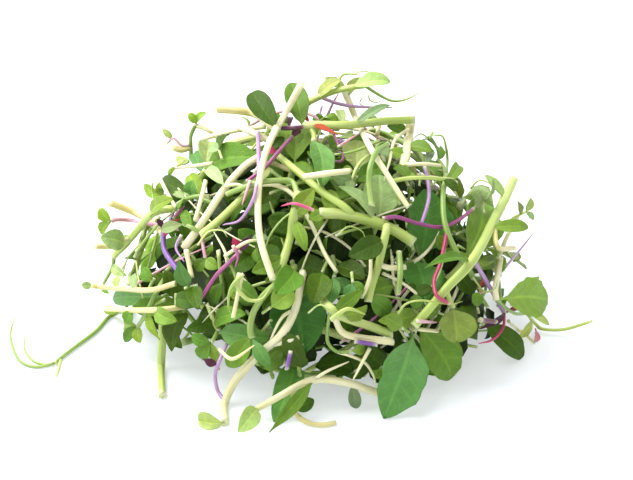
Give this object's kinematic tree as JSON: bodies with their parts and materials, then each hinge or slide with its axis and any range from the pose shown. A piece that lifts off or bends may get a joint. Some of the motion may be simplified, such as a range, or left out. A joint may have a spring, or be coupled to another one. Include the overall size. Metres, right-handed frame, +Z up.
{
  "type": "heap of cut microgreens",
  "caption": "Loose heap of cut mixed microgreens: pale and coloured stems, curling tendrils and small green leaves, lying on a flat surface.",
  "frame": {"origin": "on the surface that the heap lies on, under its middle, on the flat underside of a pressed leaf", "axes": "+Z up, +X to the right as seen from the front, +Y away from the front"},
  "size_m": [0.2177, 0.1415, 0.0972],
  "materials": {
    "leaf_dark": "fresh leaf, soft sheen",
    "leaf_blue": "fresh leaf, soft sheen",
    "stem_green": "fresh stem, moist sheen",
    "leaf_mid": "fresh leaf, soft sheen",
    "leaf_bright": "fresh leaf, soft sheen",
    "leaf_pale": "fresh leaf, soft sheen",
    "stem_straw": "fresh stem, moist sheen",
    "stem_violet": "fresh stem, moist sheen",
    "stem_rose": "fresh stem, moist sheen",
    "stem_lime": "fresh stem, moist sheen",
    "leaf_bud": "fresh leaf, soft sheen",
    "stem_magenta": "fresh stem, moist sheen",
    "stem_mauve": "fresh stem, moist sheen",
    "stem_cream": "fresh stem, moist sheen"
  },
  "bodies": {
    "root": {"table_shoot": "leaf_dark", "spinach_sprout_01": "leaf_dark", "spinach_sprout_02": "leaf_blue", "tendril_shoot_01": "stem_green", "pea_shoot_07": "leaf_mid", "chard_sprout_01": "leaf_dark", "cress_sprout_01": "stem_green", "rocket_sprout_01": "leaf_dark", "rocket_sprout_02": "leaf_blue", "radish_sprout_03": "leaf_bright", "sunflower_shoot_01": "leaf_mid", "spinach_sprout_03": "leaf_dark", "pea_shoot_01": "leaf_bright", "mustard_sprout_01": "leaf_pale", "pea_shoot_02": "leaf_pale", "pea_shoot_03": "leaf_bright", "radish_sprout_01": "leaf_bright", "pea_shoot_04": "leaf_bright", "pea_shoot_05": "stem_straw", "pea_shoot_06": "leaf_bright", "amaranth_sprout_01": "stem_violet", "radish_sprout_02": "stem_rose", "sunflower_shoot_02": "leaf_dark", "sunflower_shoot_03": "stem_lime", "sunflower_shoot_04": "leaf_bright", "mustard_sprout_02": "leaf_blue", "pea_shoot_09": "leaf_mid", "pea_shoot_10": "leaf_pale", "sunflower_shoot_05": "leaf_bud", "sunflower_shoot_06": "leaf_bud", "pea_shoot_11": "leaf_bright", "lettuce_leaf_01": "leaf_bright", "pea_shoot_12": "leaf_bright", "mustard_sprout_03": "leaf_mid", "amaranth_sprout_03": "stem_magenta", "amaranth_sprout_04": "stem_magenta", "pea_shoot_13": "leaf_bud", "amaranth_sprout_05": "stem_mauve", "pea_shoot_14": "stem_green", "amaranth_sprout_07": "stem_mauve", "shiso_sprout_01": "leaf_bright", "cress_sprout_04": "leaf_dark", "sunflower_shoot_07": "stem_cream", "pea_shoot_15": "leaf_blue", "sunflower_shoot_08": "leaf_dark", "pea_shoot_16": "leaf_pale", "back_spray_01": "leaf_mid", "back_spray_02": "leaf_mid", "back_spray_03": "leaf_mid", "back_spray_04": "leaf_mid", "rear_spray_01": "leaf_bright", "rear_spray_02": "leaf_bright", "rear_spray_03": "leaf_bright", "crown_spray_01": "leaf_mid", "crown_spray_02": "leaf_mid", "inner_spray_01": "leaf_dark", "inner_spray_02": "leaf_dark", "inner_spray_03": "leaf_dark"}
  },
  "joints": []
}
